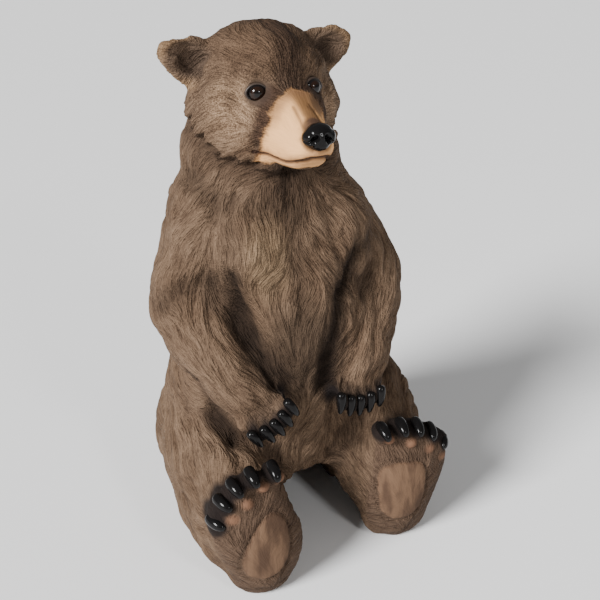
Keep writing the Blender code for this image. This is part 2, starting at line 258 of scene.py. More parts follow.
def valueNoise(points, seed):
    # smooth noise from 0 to 1, one cell to the unit
    base = np.floor(points).astype(np.int64)
    part = points - base
    part = part * part * (3 - 2 * part)
    total = np.zeros(len(points))
    for corner in np.ndindex(2, 2, 2):
        cell = base + corner
        mixed = np.bitwise_xor.reduce(cell * noiseMix["cell"], axis=1) ^ (seed * noiseMix["seed"])
        mixed = (mixed ^ (mixed >> 13)) * noiseMix["last"]
        weight = np.prod(np.where(corner, part, 1 - part), axis=1)
        total += weight * ((mixed ^ (mixed >> 16)) & noiseMix["largest"]) / noiseMix["largest"]
    return total


def toLine(points, start, end):
    # how far each point is from its nearest place on a straight stretch, as a vector
    along = end - start
    share = np.clip((points - start) @ along / (along @ along), 0, 1)
    return points - start - share[:, None] * along


def furFlow(points, normals):
    flow = np.zeros_like(points)
    for side in sides.values():
        for line in furLines:
            line = np.array(line, float) * (side, 1, 1)
            for start, end in zip(line, line[1:]):
                away = np.linalg.norm(toLine(points, start, end), axis=1)
                weight = 1 / (away + 1) ** fur["lineSharpness"]
                flow += weight[:, None] * (end - start) / np.linalg.norm(end - start)
    flow -= np.sum(flow * normals, axis=1)[:, None] * normals
    flow /= np.linalg.norm(flow, axis=1)[:, None] + 1e-9
    sway = np.zeros(len(points))
    for waves in (fur["waves"], fur["smallWaves"]):
        sway += (valueNoise(points / waves["size"], waves["seed"]) - 0.5) * waves["share"] * fur["wave"]
    across = np.cross(normals, flow)
    return flow * np.cos(sway)[:, None] + across * np.sin(sway)[:, None]


def flowCells(points, flow):
    # the flow kept in small cells round the skin, so that a path can be followed along it
    cell, margin = fur["cell"], fur["marginCells"]
    low = points.min(axis=0) - margin * cell
    shape = tuple(((points.max(axis=0) - low) / cell).astype(int) + margin + 1)
    index = np.ravel_multi_index(tuple(((points - low) / cell).astype(int).T), shape)
    sums = [np.bincount(index, flow[:, k], math.prod(shape)).reshape(shape) for k in range(3)]
    grid = np.stack(sums, axis=-1)
    spread = sum(np.roll(grid, way, axis=axis) for axis in range(3) for way in (-1, 1)) + 2 * grid
    spread /= np.linalg.norm(spread, axis=-1)[..., None] + 1e-9

    def look(places):
        cells = np.clip(((places - low) / cell).astype(int), 0, np.array(shape) - 1)
        return spread[cells[:, 0], cells[:, 1], cells[:, 2]]

    return look


def furPaths(points, flow):
    # where the fur through each point comes from and goes to, in even steps
    look = flowCells(points, flow)
    paths = {0: points}
    for way in (-1, 1):
        place, heading = points, flow
        for k in range(1, fur["traceCount"] + 1):
            place = place + way * fur["traceStep"] * heading
            found = look(place)
            lost = np.linalg.norm(found, axis=1) < 0.5
            heading = np.where(lost[:, None], heading, 0.5 * heading + 0.5 * found)
            heading = heading / (np.linalg.norm(heading, axis=1)[:, None] + 1e-9)
            paths[way * k] = place
    return paths


def alongFur(paths, kind):
    taps = range(-kind["reach"], kind["reach"] + 1)
    return sum(valueNoise(paths[k] / kind["width"], kind["seed"]) for k in taps) / len(taps)


def ridged(paths, kind):
    # grooves where the averaged noise crosses its middle, rounded locks between them
    spread = fur["grooveSpread"] / math.sqrt(2 * kind["reach"] + 1)
    return np.clip(np.abs(alongFur(paths, kind) - 0.5) / (0.5 * spread), 0, 1) ** fur["roundness"]


def smoothStep(values, low, high):
    t = np.clip((values - low) / (high - low), 0, 1)
    return t * t * (3 - 2 * t)


def blob(points, centre, reach, inner=0.75, outer=1.15):
    # 1 inside an ellipsoid, falling smoothly to 0 outside it
    away = np.linalg.norm((points - np.array(centre, float)) / np.array(reach, float), axis=1)
    return 1 - smoothStep(away, inner, outer)


def lineAway(points, line):
    line = np.array(line, float)
    return np.minimum.reduce([np.linalg.norm(toLine(points, *ends), axis=1) for ends in zip(line, line[1:])])


points = getPoints(bear) / unit - shiftRow
normals = getPoints(bear, "normal")
flow = furFlow(points, normals)
paths = furPaths(points, flow)
lockHeight = ridged(paths, fur["locks"])
tuftHeight = ridged(paths, fur["tufts"])
strandHeight = np.clip((alongFur(paths, fur["strands"]) - 0.5) * fur["strands"]["contrast"] + 0.5, 0, 1)
print("fur laid")

# Places on the head, from its centre: the left side is drawn and the right side mirrors it
inHead = (points - headRow) @ np.array(headPlace.to_3x3())
onMirror = inHead * (-1, 1, 1)
headX = np.abs(inHead[:, 0])
headY, headZ = inHead[:, 1], inHead[:, 2]
facing = smoothStep(-normals[:, 1], 0.15, 0.55)
ragged = (strandHeight - 0.5) * 0.8 + (tuftHeight - 0.6) * 0.5  # feathers the edges of the paint


def both(shape, *values):
    return np.maximum(shape(inHead, *values), shape(onMirror, *values))


def band(places, line, radius, soft, feather=0.0):
    return 1 - smoothStep(lineAway(places, line) + feather * ragged, radius, radius + soft)


# The nose pad, for its own mesh and for the skin round it: its lines are the left half's
nosePad = {
    "centre": (0, -21.3, -3.4),
    "half": (2.5, 2.3, 2.15),
    "wings": [((1.55, -21.3, -3.6), (1.3, 1.8, 1.45)), ((0, -21.4, -4.3), (1.8, 2.0, 1.55))],
    "nostril": {"radius": 0.85, "depth": 1.1, "line": [(1.05, -23.4, -3.3), (1.45, -23.1, -3.8)]},
    "slit": {
        "radius": 0.45, "depth": 0.45, "line": [(1.4, -23.2, -3.8), (2.2, -22.5, -4.2), (2.8, -21.3, -4.1)],
    },
    "middle": {
        "radius": 0.4, "depth": 0.3, "line": [(0, -24.0, -3.2), (0, -23.8, -4.8), (0, -22.9, -6.4)],
    },
    "grain": {"size": 0.45, "depth": 0.05, "seed": 21},
    "voxel": 0.0006,
    "smoothing": 14,
}
# under 1 inside the nose pad
noseAway = np.linalg.norm((inHead - nosePad["centre"]) / nosePad["half"], axis=1)

# The pale muzzle ends on a slanted plane, further back low down and further forward high up
muzzleForm = {
    "here": ((0, -4, 0), (17, 26, 15), 0.85, 1.0),
    "back": 10.9,
    "slant": 0.42,
    "lower": {"from": -2, "gain": 0.45},
    "upper": {"from": 0.5, "loss": 0.5},
    "floor": {"height": -9.5, "slope": 1.5},
    "ragged": 0.5,
}
headHere = blob(inHead, *muzzleForm["here"])
muzzleEdge = -headY - muzzleForm["back"] - muzzleForm["slant"] * headX  # over 0 on the pale muzzle
muzzleEdge += muzzleForm["lower"]["gain"] * np.maximum(0, muzzleForm["lower"]["from"] - headZ)
muzzleEdge -= muzzleForm["upper"]["loss"] * np.maximum(0, headZ - muzzleForm["upper"]["from"])
muzzleEdge = np.minimum(muzzleEdge, (headZ - muzzleForm["floor"]["height"]) * muzzleForm["floor"]["slope"])
muzzleEdge += muzzleForm["ragged"] * ragged
muzzle = smoothStep(muzzleEdge, -0.5, 0.5) * headHere

# Folds between the large forms, sunk and painted with shade: each has its line and its strength
folds = {
    "lines": [
        ([(-25.2, -0.5, 51.8), (-21.7, -2.9, 55.3), (-17.4, -4.1, 56.2), (-14.2, -7.6, 57.0)], 0.45),
        ([(-13.0, -6.5, 67.0), (-13.6, -7.5, 63.8), (-14.0, -7.8, 58.0)], 0.25),
        ([(-14.0, -7.8, 57.2), (-12.5, -8.0, 49.6), (-10.8, -12.7, 43.8), (-8.1, -16.1, 38.6)], 0.95),
        ([(10.4, -10.7, 59.2), (8.5, -11.2, 54.9), (5.7, -13.4, 52.5),
          (4.4, -14.8, 47.9), (2.6, -15.2, 41.8), (1.4, -14.7, 35.0)], 1.0),
        ([(14.7, -7.8, 60.7), (10.4, -10.7, 59.2)], 0.55),
        ([(-2.1, -7.7, 75.4), (-2.6, -9.1, 69.9), (-2.3, -10.1, 65.3),
          (-2.2, -11.3, 59.5), (-2.5, -12.5, 54.0)], 0.35),
        ([(-12.6, -5.0, 69.5), (-8.0, -7.8, 69.2), (-4.0, -9.2, 68.2), (-1.0, -9.8, 66.5)], 0.35),
        ([(-17.3, 3.1, 73.6), (-16.0, -1.4, 72.2), (-14.6, -2.9, 70.4), (-14.0, -3.4, 67.5)], 0.45),
        ([(-22.2, -7.2, 38.6), (-17.9, -5.3, 29.1), (-16.0, -9.9, 26.5), (-14.9, -18.3, 29.7)], 0.90),
        ([(4.7, -18.0, 30.8), (8.4, -12.1, 20.1), (7.4, -14.3, 13.6), (9.0, -14.7, 4.1)], 0.12),
        ([(22.2, -7.2, 38.6), (18.5, -5.3, 30.0)], 0.60),
    ],
    "ragged": 0.4,
    "shade": (0.2, 3.6),
    "narrow": {"depth": 0.8, "width": 1.3},
    "wide": {"depth": 0.7, "width": 3.4},
}


def foldsOf():
    # how dark the painted shade in the folds is, and how deep the folds are
    creaseShade, fold = np.zeros(len(points)), np.zeros(len(points))
    for line, strength in folds["lines"]:
        away = lineAway(points, line) + folds["ragged"] * ragged
        creaseShade = np.maximum(creaseShade, strength * (1 - smoothStep(away, *folds["shade"])))
        dips = (folds["narrow"], folds["wide"])
        dip = sum(form["depth"] * np.exp(-(away / form["width"]) ** 2) for form in dips)
        fold = np.maximum(fold, strength * dip)
    return creaseShade, fold


# The ruff: along this line the cheek fur stands over the neck, and a painted shadow lies along it, mostly on
# the neck below
ruffForm = {
    "line": [
        (13.5, 7.0, -1.5), (14.0, 3.0, -3.2), (14.5, -2.7, -4.9), (13.8, -4.6, -6.9), (12.4, -6.6, -8.7),
        (9.8, -9.1, -9.6), (7.2, -10.1, -10.4), (3.2, -11.3, -10.9), (0, -11.6, -11.2),
    ],
    "middle": (0, 0, -2),
    "radius": 15,
    "faceMiddle": (0, -8, 6),
    "tuftRagged": 1.6,
    "strandRagged": 0.9,
    "here": ((0, 0, -2), (21, 21, 21), 0.85, 1.0),
    "cheek": {"height": 0.65, "width": 3.0, "shade": 0.5},
    "neck": {"height": -0.95, "width": 2.6, "shade": 2.0},
    "edge": 0.35,
}


def roundHead(places):
    # places moved onto a ball round the head
    outward = np.array(places, float) - ruffForm["middle"]
    return ruffForm["radius"] * outward / np.linalg.norm(outward, axis=1)[:, None]


def ruffStep(places):
    # how near each place is to the ruff's line, and how far over it towards the face
    nearest = np.full(len(places), 1e9)
    over = np.zeros(len(places))
    places, line = roundHead(places), roundHead(ruffForm["line"])
    faceMiddle = roundHead([ruffForm["faceMiddle"]])[0]
    for start, end in zip(line, line[1:]):
        offset = toLine(places, start, end)
        away = np.linalg.norm(offset, axis=1)
        along = end - start
        inward = faceMiddle - start
        inward -= inward @ along / (along @ along) * along
        closer = away < nearest
        nearest = np.where(closer, away, nearest)
        over = np.where(closer, offset @ inward / np.linalg.norm(inward), over)
    return nearest, over


def ruffOf():
    # the height of the ruff and its painted shadow
    onLeft = inHead[:, 0] > 0
    pairs = zip(ruffStep(inHead), ruffStep(onMirror))
    near, over = (np.where(onLeft, left, right) for left, right in pairs)
    over = over + ruffForm["tuftRagged"] * (tuftHeight - 0.6)
    over = over + ruffForm["strandRagged"] * (strandHeight - 0.5)
    near = np.maximum(near, np.abs(over))
    here = blob(inHead, *ruffForm["here"])
    cheek, neck = ruffForm["cheek"], ruffForm["neck"]
    rise = np.where(over > 0, cheek["height"] * np.exp(-near / cheek["width"]),
                    neck["height"] * np.exp(-near / neck["width"]))
    rise *= smoothStep(np.abs(over), 0.0, ruffForm["edge"]) * here
    shade = np.where(over < 0, np.exp(-near / neck["shade"]), np.exp(-near / cheek["shade"])) * here
    return rise, shade


# The pads of the soles, seen from the front: centre and half size in X and Z
solePads = {
    "right": {
        "centre": (-15.2, 12.0), "half": (4.35, 6.9), "turn": math.radians(-15), "power": 2.2, "taper": 0.25,
    },
    "left": {
        "centre": (14.8, 12.3), "half": (5.0, 6.3), "turn": math.radians(-3), "power": 3.0, "taper": -0.12,
    },
}
soleFaces = (normals[:, 1] < -0.25) & (points[:, 1] < -12)


def padEdgeOf(pad):
    # over 0 on the pad
    x = points[:, 0] - pad["centre"][0]
    z = points[:, 2] - pad["centre"][1]
    cosine, sine = math.cos(pad["turn"]), math.sin(pad["turn"])
    across, up = x * cosine + z * sine, z * cosine - x * sine
    wide = np.abs(across / (pad["half"][0] * (1 - pad["taper"] * up / pad["half"][1])))
    high = np.abs(up / pad["half"][1])
    away = (wide ** pad["power"] + high ** pad["power"]) ** (1 / pad["power"])
    return np.where(soleFaces, 1 - away, -1.0) + 0.05 * (strandHeight - 0.5)


# Dark skin round the claws: how far along the way the claw faces its middle lies, its reach and its soft edge
digits = {
    "toe": {"out": 0.7, "spot": ((3.0, 5.4, 3.3), 0.75, 1.15)},
    "finger": {"out": -0.7, "spot": ((2.1, 4.6, 3.6), 0.6, 1.15)},
    # the groove in which the claw sits, from and to: along the way it faces, and back
    "toeBed": [(0.4, 1.0), (0, -3.2)],
    "fingerBed": [(1.2, -0.8), (-2.2, -1.0)],
    "bedWidth": (0.6, 1.1),
}


def digitsOf(kind, ending):
    # the dark skin of all toes or all fingers, and the beds of their claws
    dark, bed = np.zeros(len(points)), np.zeros(len(points))
    for name, row in clawRows.items():
        if not name.endswith(ending):
            continue
        for point, way in rowOf(*row):
            dark = np.maximum(dark, blob(points, point + way * digits[kind]["out"], *digits[kind]["spot"]))
            line = [point + way * out + Vector((0, back, 0)) for out, back in digits[kind + "Bed"]]
            bed = np.maximum(bed, band(points, line, *digits["bedWidth"]))
    return dark, bed


# Spots on both sides of the head: centre, reach, and the shares of the reach where it starts and ends to fade
headSpots = {
    "cheek": ((9.0, -6.4, -1.2), (4.6, 5.4, 6.4), 0.45, 1.2),
    "socket": ((5.2, -9.3, 1.6), (2.6, 2.6, 2.3), 0.7, 1.2),
    "eyeZone": ((5.2, -9.4, 1.9), (2.5, 3.0, 2.3), 0.75, 1.15),
    "earHollow": ((13.4, 1.8, 6.4), (4.9, 3.4, 4.0), 0.6, 1.1),
    "earPit": ((12.6, 1.6, 5.8), (2.8, 2.6, 2.4), 0.5, 1.2),
    "earHere": ((14.0, 3.2, 6.4), (6.0, 5.0, 5.6), 0.9, 1.1),
}
# Spots on the body, drawn as they lie
bodySpots = {
    # painted shade on the belly, in the recess between the forearms
    "belly": ((-2.5, -15, 43), (9, 9, 12), 0.45, 1.2),
    # the throat painted darker: partly its own darker brown, partly a painted shadow under the chin
    "throatToneAndShadow": ((-2.0, -9, 71.5), (8, 6, 6.5), 0.3, 1.2),
    # a painted highlight on the bear's right chest, the side turned to the key light
    "chestLight": ((-7.5, -10.5, 61), (5.0, 5, 9.0), 0.2, 1.2),
    "rightSole": ((-17, -24, 14), (13, 7, 17), 0.8, 1.1),
    "leftSole": ((17, -20, 14), (13, 7, 17), 0.8, 1.1),
}
toePadSpot = ((1.25, 2.6, 1.05), 0.35, 1.3)
# Streaks on the head: line, radius, soft edge and how ragged the edge is
streaks = {
    "crown": ([(1.3, 3, 12.6), (1.4, -4.5, 11), (1.5, -7.8, 8.8), (0.5, -9.6, 5.6), (0, -10.8, 3.0)],
              1.1, 3.0, 0.8),
    "temple": ([(7.6, -5.7, 6.6), (9.0, -5.4, 2.7), (9.2, -6.4, 0.2)], 0.1, 1.7, 0.8),
    "smudge": ([(3.4, -11.0, 1.8), (4.8, -11.9, 0.2), (6.2, -12.4, -2.2), (6.6, -11.4, -5.0)], 0.5, 1.9, 0.5),
    "noseSide": ([(1.9, -15.1, 0.2), (2.2, -18.2, -1.4), (2.6, -21.0, -3.0)], 0.05, 0.55),
    "noseCorner": ([(3.2, -20.2, -3.8), (2.6, -21.3, -4.8), (1.5, -21.9, -5.5)], 0.10, 0.60),
}
# The mouth, from its corner forward
mouthLine = [
    (5.8, -9.6, -7.4), (5.2, -11.1, -8.0), (4.3, -13.6, -8.3), (3.7, -16.3, -8.4),
    (2.9, -18.4, -8.1), (1.8, -20.4, -7.5), (0, -21.4, -7.0),
]
mouthHeight = np.interp(-headY, [-y for _, y, _ in mouthLine], [z for _, _, z in mouthLine])
mouthAway = np.abs(headZ - mouthHeight) + 2 * np.maximum(0, headY + 10.2)

onFace = {name: both(blob, *spot) for name, spot in headSpots.items()}
onBody = {name: blob(points, *spot) for name, spot in bodySpots.items()}
earHollow, earPit = onFace["earHollow"] * facing, onFace["earPit"] * facing
creaseShade, fold = foldsOf()
ruff, ruffShade = ruffOf()
padEdge = np.maximum.reduce([padEdgeOf(pad) for pad in solePads.values()])
padEdge = np.maximum(padEdge, -1.0)
padFill = smoothStep(padEdge, -0.04, 0.10)
toePad = np.maximum.reduce([blob(points, centre, *toePadSpot) for centre in toePads])
toes, toeBeds = digitsOf("toe", "Foot")
fingers, fingerBeds = digitsOf("finger", "Hand")
clawBed = np.maximum(toeBeds, fingerBeds)
soles = facing * np.maximum(onBody["rightSole"], onBody["leftSole"])
under = 1 - smoothStep(points[:, 2], 0.3, 1.2)
noseLines = np.maximum(0.8 * both(band, *streaks["noseSide"]), both(band, *streaks["noseCorner"]))

masks = {
    "crown": band(inHead, *streaks["crown"]),
    "temple": both(band, *streaks["temple"]),
    "smudge": both(band, *streaks["smudge"]),
    "cheek": onFace["cheek"],
    "socket": onFace["socket"],
    "mottle": smoothStep(0.6 * valueNoise(points / 5.5, 31) + 0.4 * valueNoise(points / 2.6, 32), 0.42, 0.72),
    "earHollow": earHollow,
    "earPit": earPit,
    "earRim": onFace["earHere"] * smoothStep(headX, 11.5, 14.0) * (1 - earHollow),
    "headTop": smoothStep(headZ, 1.0, 8.5) * headHere * smoothStep(-headX, -12.0, -9.5),
    "belly": onBody["belly"],
    "throatToneAndShadow": onBody["throatToneAndShadow"],
    "chestLight": onBody["chestLight"],
    # painted shade in the deep folds between the large forms, less in the ears
    "hollow": smoothStep(hollows, 0.12, 0.95) * (1 - 0.7 * onFace["earHere"]),
    # painted shadow along the ruff, mostly on the neck below it
    "ruff": np.clip(ruffShade, 0, 1) * (1 - muzzle),
    # painted shade in the folds
    "creaseShade": creaseShade,
    "sole": soles,
    "toes": toes,
    "fingers": fingers,
    "muzzle": muzzle,
    "bridge": muzzle * (1 - smoothStep(np.abs(inHead[:, 0] - 0.7) + 0.3 * ragged, 1.0, 3.0))
    * smoothStep(headZ, -3.4, -0.8),
    "behindNose": 1 - smoothStep(noseAway - 0.30 * smoothStep(headZ, -3, -1), 1.15, 1.55),
    "lips": muzzle * (1 - smoothStep(mouthAway, 0.3, 1.5)),
    "noseLines": noseLines * muzzle,
    "muzzleRoot": muzzle * (1 - smoothStep(muzzleEdge, 0.2, 3.0)) * smoothStep(headZ, -5.0, 0.0),
    # painted shade on the left side of the snout, the side turned from the key light
    "farSnoutShade": blob(inHead, (4.3, -14.6, 0.2), (2.4, 5.2, 2.8), 0.6, 1.15),
    "underNose": 1 - smoothStep(noseAway, 0.98, 1.12),
    "mouth": (1 - smoothStep(mouthAway, 0.12, 0.46)) * smoothStep(8.0 - headX, 0, 1) * headHere,
    "toePad": toePad,
    "solePad": padEdge,
}
print("paint placed")

# How far each form is raised or sunk, and how much shorter the fur is on the face and the soles
relief = {
    "shorterFace": 0.60, "shorterSole": 0.8, "faceFur": ((0, -1, 0), (16, 15, 13), 0.8, 1.15),
    "padRaised": 0.20, "padRimSunk": 0.22, "toePadRaised": 0.35, "mouthSunk": 0.32,
    "earHollowSunk": 0.30, "earPitSunk": 0.30, "clawBedSunk": 0.5, "underNoseSunk": 0.9,
    "noseLinesSunk": 0.22, "roundNoseSunk": 0.45, "snoutNarrowed": 0.24,
}


def furRelief(kind, height, least, length):
    # least is the share of the depth that stays where the fur is shortest
    return kind["depth"] * (height - kind["level"]) * (least + (1 - least) * length)


headShort = blob(inHead, *relief["faceFur"])
length = 1 - relief["shorterFace"] * headShort - relief["shorterSole"] * soles * (1 - headShort)
smooth = [muzzle, 0.9 * onFace["eyeZone"], padFill, under, 0.7 * toes, 0.6 * fingers, toePad]
furry = 1 - np.maximum.reduce(smooth)
depth = furRelief(fur["locks"], lockHeight, 0.0, length)
depth += furRelief(fur["tufts"], tuftHeight, 0.35, length)
depth += furRelief(fur["strands"], strandHeight, 0.5, length)
depth *= furry
depth += relief["padRaised"] * padFill
depth -= relief["padRimSunk"] * smoothStep(padEdge, -0.16, -0.05) * (1 - padFill)
depth += ruff * (1 - muzzle) - fold
depth -= relief["mouthSunk"] * masks["mouth"] + relief["noseLinesSunk"] * noseLines
depth -= relief["earHollowSunk"] * earHollow + relief["earPitSunk"] * earPit
depth -= relief["clawBedSunk"] * clawBed - relief["toePadRaised"] * toePad
depth -= relief["underNoseSunk"] * masks["underNose"]
depth -= relief["roundNoseSunk"] * (1 - smoothStep(noseAway, 1.1, 1.5))
shaped = points + normals * depth[:, None]
# the snout is narrower above the lips
slim = smoothStep(-headY, 11.0, 15.0) * smoothStep(headZ, -7.5, -3.0) * headHere
shaped[:, 0] -= relief["snoutNarrowed"] * slim * inHead[:, 0]
setPoints(bear, np.clip((shaped + shiftRow) * unit, bodyLow, bodyHigh))
setFlow(bear, "flow", flow)
for name, values in masks.items():
    setMask(bear, name, values)
setMask(bear, "furry", furry)
setMask(bear, "lock", lockHeight)
setMask(bear, "tuft", tuftHeight)
setMask(bear, "short", headShort * (1 - muzzle))
# each face of the voxel mesh is a square, so it has two triangles
kept = skin["triangles"] / (2 * len(bear.data.polygons))
finishModifier(bear, "DECIMATE", ratio=kept, use_collapse_triangulate=True)
select(bear)
bpy.ops.object.shade_smooth()
print("bear carved", len(bear.data.polygons), "triangles")

claws = {
    "sides": 14,
    # along the claw, back towards its hollow side, radius across and radius through
    "foot": [
        (0.0, 0.0, 1.00, 0.90), (1.2, -0.02, 1.16, 1.02), (2.6, 0.08, 1.12, 1.0),
        (3.7, 0.35, 0.9, 0.82), (4.5, 0.75, 0.5, 0.5),
    ],
    "hand": [
        (0.0, 0.0, 0.80, 0.80), (1.0, -0.10, 0.98, 0.95), (2.2, -0.08, 0.92, 0.90),
        (3.5, 0.12, 0.68, 0.70), (4.5, 0.45, 0.30, 0.34),
    ],
    # how the root is moved from the row's place, and which way the claw points: along its facing and forward
    "footSet": {"up": 0.75, "back": 1.0, "lean": (-0.22, 1.0)},
    "handSet": {"up": 1.3, "back": -1.15, "lean": (-1.0, 0.20)},
}


def makeClaw(kind):
    # drawn along +Z from its root, with its rounded back to +Y
    rings = claws[kind]
    _, _, wide, thick = rings[0]
    bpy.ops.mesh.primitive_circle_add(vertices=claws["sides"], radius=1, fill_type="NGON", location=(0, 0, 0))
    form = bpy.context.object
    bpy.ops.object.mode_set(mode="EDIT")
    bpy.ops.mesh.select_all(action="SELECT")
    bpy.ops.transform.resize(value=(wide, thick, 1), center_override=(0, 0, 0))
    for (z, drop, wide, thick), (nextZ, nextDrop, nextWide, nextThick) in zip(rings, rings[1:]):
        bpy.ops.mesh.extrude_region_move(TRANSFORM_OT_translate={"value": (0, drop - nextDrop, nextZ - z)})
        growth = (nextWide / wide, nextThick / thick, 1)
        bpy.ops.transform.resize(value=growth, center_override=(0, -nextDrop, nextZ))
    bpy.ops.mesh.select_all(action="SELECT")
    bpy.ops.mesh.normals_make_consistent(inside=False)
    bpy.ops.object.mode_set(mode="OBJECT")
    finishModifier(form, "SUBSURF", levels=2, render_levels=2)
    bpy.ops.object.shade_smooth()
    return form


def clawsOf(name):
    kind = "foot" if name.endswith("Foot") else "hand"
    values = claws[kind + "Set"]
    master = makeClaw(kind)
    forward = Vector((0, -1, 0))
    copies = []
    for point, facing in rowOf(*clawRows[name]):
        one = bpy.data.objects.new("claw", master.data.copy())
        bpy.context.scene.collection.objects.link(one)
        root = placed(point + facing * values["up"] + Vector((0, values["back"], 0)))
        along = (facing * values["lean"][0] + forward * values["lean"][1]).normalized()
        outer = facing if kind == "foot" else forward
        outer = (outer - along * outer.dot(along)).normalized()
        turn = Matrix((outer.cross(along), outer, along)).transposed().to_4x4()
        one.matrix_world = Matrix.Translation(root) @ turn @ Matrix.Scale(unit, 4)
        settle(one)
        copies.append(one)
    bpy.data.objects.remove(master)
    return joined(name + "Claws", copies)


clawPieces = [clawsOf(name) for name in clawRows]
print("claws set")

# The rim of each eye is a ring that looks the same way as the eye, pulled flatter towards its corners
lid = {
    "gaze": (0.30, -0.95, 0.04), "forward": 0.25,
    "radius": 1.68, "thickness": 0.32, "width": 1.10, "height": 0.86, "flattening": 0.22,
    "paleFrom": -0.12, "paleTo": 0.10, "segments": 64, "sides": 16,
}


def makeLid(side):
    gaze = Vector((sides[side] * lid["gaze"][0], *lid["gaze"][1:])).normalized()
    bpy.ops.mesh.primitive_torus_add(major_radius=lid["radius"] * unit, minor_radius=lid["thickness"] * unit,
                                     major_segments=lid["segments"], minor_segments=lid["sides"])
    ring = bpy.context.object
    ring.name = side + "Lid"
    ring.scale = (lid["width"], lid["height"], 1)
    settle(ring)
    places = getPoints(ring)
    corner = np.abs(places[:, 0]) / (lid["radius"] * lid["width"] * unit)
    places[:, 1] *= 1 - lid["flattening"] * corner ** 3
    setPoints(ring, places)
    outward = np.linalg.norm(places[:, :2] / (lid["width"], lid["height"]), axis=1) / unit
    setMask(ring, "rim", smoothStep(outward, lid["radius"] + lid["paleFrom"], lid["radius"] + lid["paleTo"]))
    across = Vector((0, 0, 1)).cross(gaze).normalized()
    turn = Matrix((across, gaze.cross(across), gaze)).transposed().to_4x4()
    ring.matrix_world = Matrix.Translation(eyeMiddle(side) + gaze * lid["forward"] * unit) @ turn
    settle(ring)
    bpy.ops.object.shade_smooth()
    return ring


# The iris is a ring round the gaze: angles from it where the iris starts and ends, each with a soft edge
eye = {"radius": 0.00925, "segments": 48, "rings": 32, "irisStart": (0.34, 0.44), "irisEnd": (0.78, 0.95)}


def makeEye(side):
    bpy.ops.mesh.primitive_uv_sphere_add(segments=eye["segments"], ring_count=eye["rings"],
                                         radius=eye["radius"], location=eyeMiddle(side),
                                         rotation=(math.pi / 2, 0, 0))
    ball = bpy.context.object
    ball.name = side + "Eye"
    bpy.ops.object.shade_smooth()
    settle(ball)
    gaze = np.array((sides[side] * lid["gaze"][0], *lid["gaze"][1:]))
    angle = np.arccos(np.clip(getPoints(ball, "normal") @ gaze / np.linalg.norm(gaze), -1, 1))
    setMask(ball, "iris", smoothStep(angle, *eye["irisStart"]) * (1 - smoothStep(angle, *eye["irisEnd"])))
    return ball


lids = [makeLid(side) for side in sides]
eyes = {side: makeEye(side) for side in sides}
print("eyes set")


def makeNose():
    parts = [addBall(onHead(nosePad["centre"]), nosePad["half"], segments=48, rings=32)]
    for centre, radii in nosePad["wings"]:
        for side in sides.values():
            parts.append(addBall(onHead((side * centre[0], *centre[1:])), radii, segments=48, rings=32))
    whole = joined("nosePad", parts)
    finishModifier(whole, "REMESH", mode="VOXEL", voxel_size=nosePad["voxel"])
    finishModifier(whole, "SMOOTH", iterations=nosePad["smoothing"], factor=0.5)
    places = getPoints(whole) / unit - shiftRow - headRow
    mirror = places * (-1, 1, 1)
    sunk = np.zeros(len(places))
    for name in ("nostril", "slit", "middle"):
        groove = nosePad[name]
        away = np.minimum(lineAway(places, groove["line"]), lineAway(mirror, groove["line"]))
        sunk += groove["depth"] * (1 - smoothStep(away, 0.1, groove["radius"]))
    grain = nosePad["grain"]
    sunk += grain["depth"] * valueNoise(places / grain["size"], grain["seed"])
    moved = (places - getPoints(whole, "normal") * sunk[:, None] + headRow + shiftRow) * unit
    setPoints(whole, np.clip(moved, bodyLow, bodyHigh))
    select(whole)
    bpy.ops.object.shade_smooth()
    return whole


nose = makeNose()
print("nose shaped")


def newMaterial(name, colour, roughness, specular=0.5):
    made = bpy.data.materials.new(name)
    made.use_nodes = True
    shader = made.node_tree.nodes["Principled BSDF"]
    shader.inputs["Base Color"].default_value = (*colour, 1)
    shader.inputs["Roughness"].default_value = roughness
    shader.inputs["Specular IOR Level"].default_value = specular
    return made, made.node_tree, shader


def addNode(tree, kind, **values):
    node = tree.nodes.new(kind)
    for key, value in values.items():
        setattr(node, key, value)
    return node


def plug(tree, value, socket):
    # joins another node's output, or sets a number or a colour
    if hasattr(value, "is_output"):
        tree.links.new(value, socket)
    elif isinstance(value, (int, float)):
        socket.default_value = value
    else:
        socket.default_value = (*value, 1)


def mathNode(tree, operation, *values, clamp=False):
    node = addNode(tree, "ShaderNodeMath", operation=operation, use_clamp=clamp)
    for socket, value in zip(node.inputs, values):
        plug(tree, value, socket)
    return node.outputs[0]


def weighed(tree, *pairs):
    # the sum of outputs, each times its weight
    total = None
    for value, weight in pairs:
        one = mathNode(tree, "MULTIPLY", value, weight)
        total = one if total is None else mathNode(tree, "ADD", total, one)
    return total


def attributeOf(tree, name, output="Fac"):
    return addNode(tree, "ShaderNodeAttribute", attribute_name=name).outputs[output]


def mixColour(tree, factor, first, second, blend="MIX"):
    node = addNode(tree, "ShaderNodeMix", data_type="RGBA", blend_type=blend)
    for socket, value in ((node.inputs[0], factor), (node.inputs[6], first), (node.inputs[7], second)):
        plug(tree, value, socket)
    return node.outputs[2]


def remapped(tree, value, low, high, kind="SMOOTHSTEP"):
    node = addNode(tree, "ShaderNodeMapRange", interpolation_type=kind)
    tree.links.new(value, node.inputs["Value"])
    node.inputs["From Min"].default_value = low
    node.inputs["From Max"].default_value = high
    return node.outputs["Result"]


def noiseOf(tree, place, scale, detail):
    node = tree.nodes.new("ShaderNodeTexNoise")
    tree.links.new(place, node.inputs["Vector"])
    plug(tree, scale, node.inputs["Scale"])
    node.inputs["Detail"].default_value = detail
    return node.outputs["Fac"]


